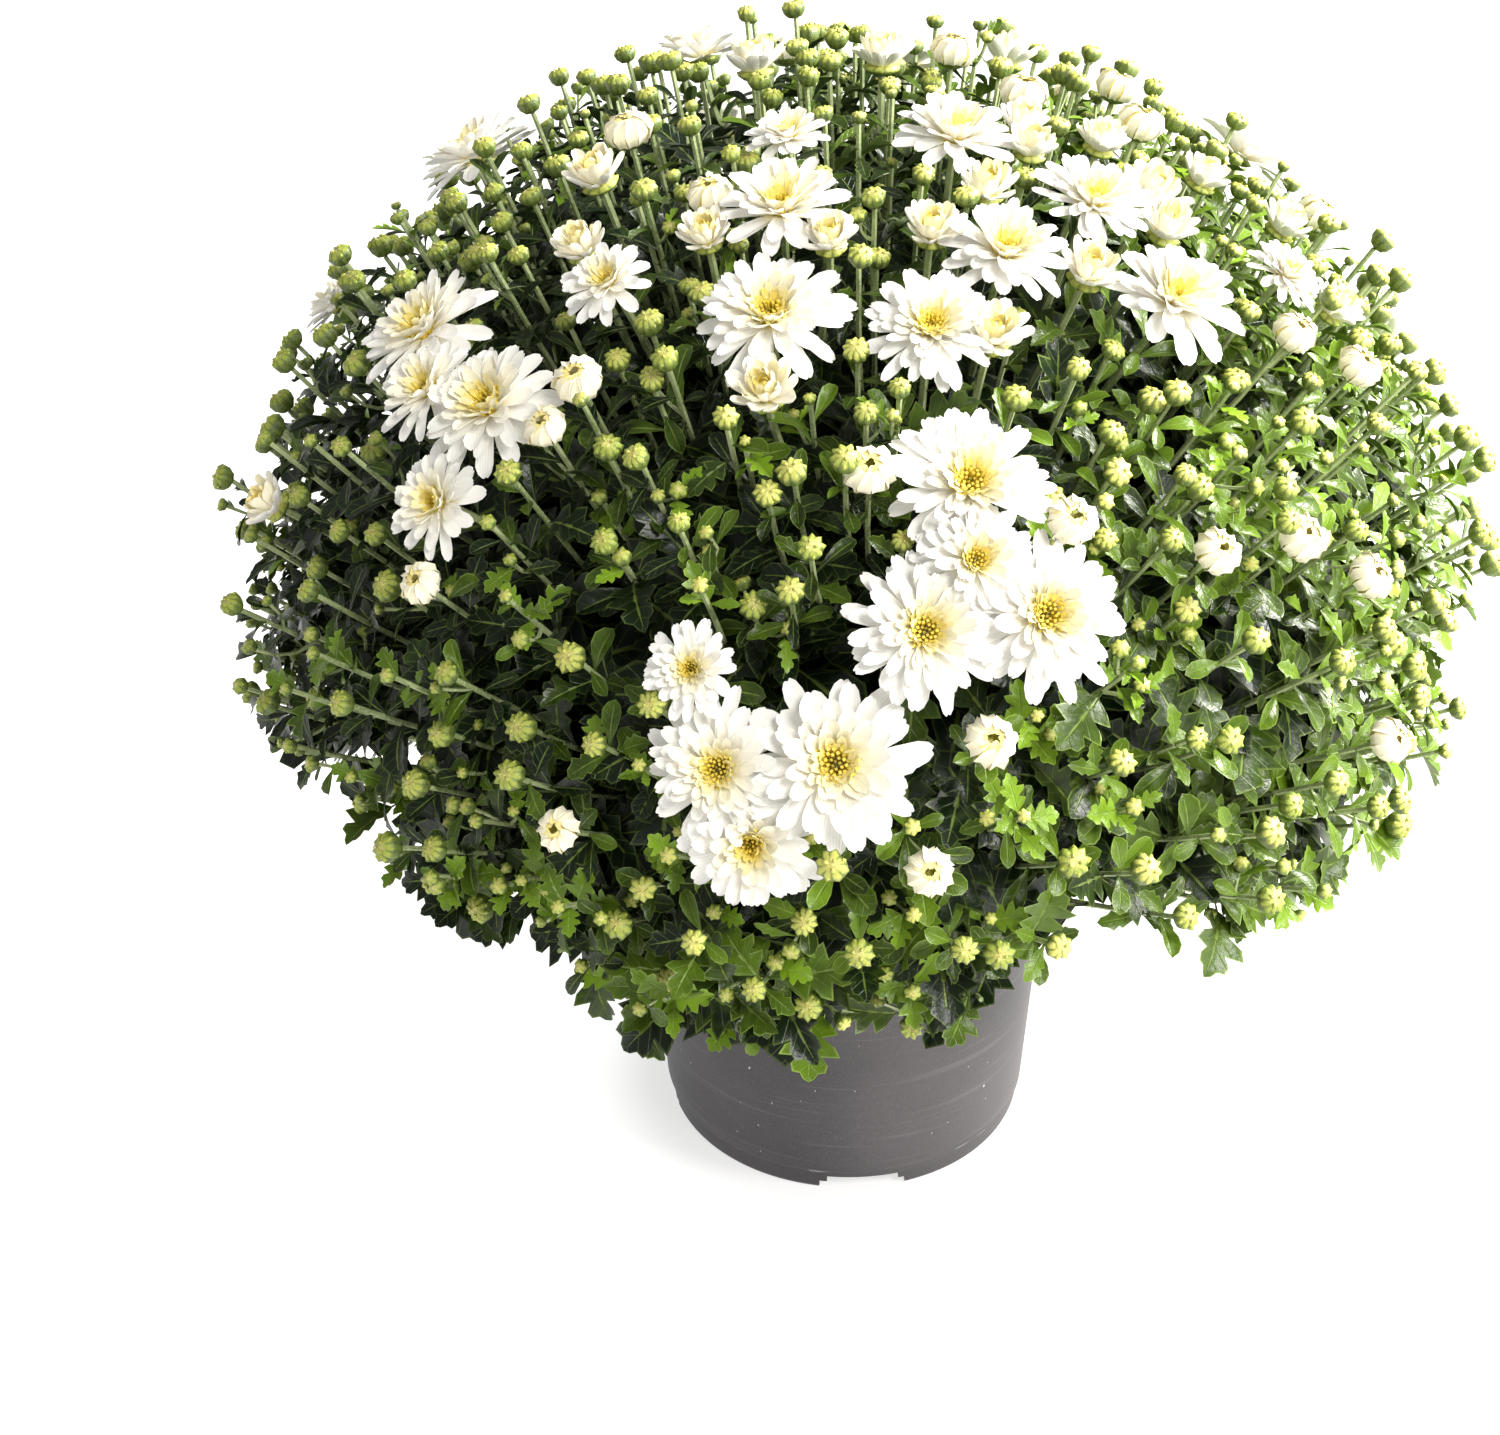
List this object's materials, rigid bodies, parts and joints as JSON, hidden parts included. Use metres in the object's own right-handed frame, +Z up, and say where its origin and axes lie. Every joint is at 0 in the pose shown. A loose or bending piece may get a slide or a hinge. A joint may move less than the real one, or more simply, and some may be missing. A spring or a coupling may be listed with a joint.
{
  "type": "pot chrysanthemum",
  "caption": "Potted chrysanthemum: a dense dome of leafy sprays, green buds and layered white blooms over a round grey nursery pot that stands on its base.",
  "frame": {"origin": "the middle of the pot's base, on the surface that it stands on, under the middle of the dome", "axes": "+Z up along the pot's axis, -Y towards the front of the plant as pictured, +X to its right"},
  "size_m": [0.4794, 0.4806, 0.4571],
  "materials": {
    "pot_plastic": "matte",
    "soil": "matte",
    "foliage": "matte",
    "petals": "matte",
    "florets": "matte"
  },
  "bodies": {
    "root": {"bloom_01": "petals", "bloom_04": "petals", "bloom_05": "petals", "bloom_06": "petals", "bloom_07": "petals", "bloom_09": "petals", "bloom_12": "petals", "bloom_13": "petals", "bloom_14": "petals", "bloom_15": "petals", "bloom_16": "petals", "bloom_18": "petals", "bloom_20": "petals", "bloom_21": "petals", "bloom_22": "petals", "bloom_23": "petals", "bloom_24": "petals", "bloom_25": "petals", "bloom_26": "petals", "bloom_30": "petals", "bloom_31": "petals", "bloom_34": "petals", "bloom_35": "petals", "bloom_36": "petals", "bloom_37": "petals", "bloom_38": "petals", "bloom_39": "petals", "bloom_40": "petals", "bloom_41": "petals", "bloom_42": "petals", "bloom_43": "petals", "bloom_44": "petals", "bloom_45": "petals", "bloom_46": "petals", "bloom_47": "petals", "bloom_48": "petals", "eye_01": "florets", "eye_03": "florets", "eye_07": "florets", "eye_16": "florets", "eye_26": "florets", "eye_28": "florets", "eye_29": "florets", "eye_31": "florets", "eye_32": "florets", "pot": "pot_plastic", "soil": "soil", "spray_01": "foliage", "spray_02": "foliage", "spray_03": "foliage", "spray_04": "foliage", "spray_05": "foliage", "spray_06": "foliage", "spray_07": "foliage", "spray_08": "foliage", "spray_09": "foliage", "spray_10": "foliage", "spray_11": "foliage", "spray_12": "foliage"}
  },
  "joints": []
}
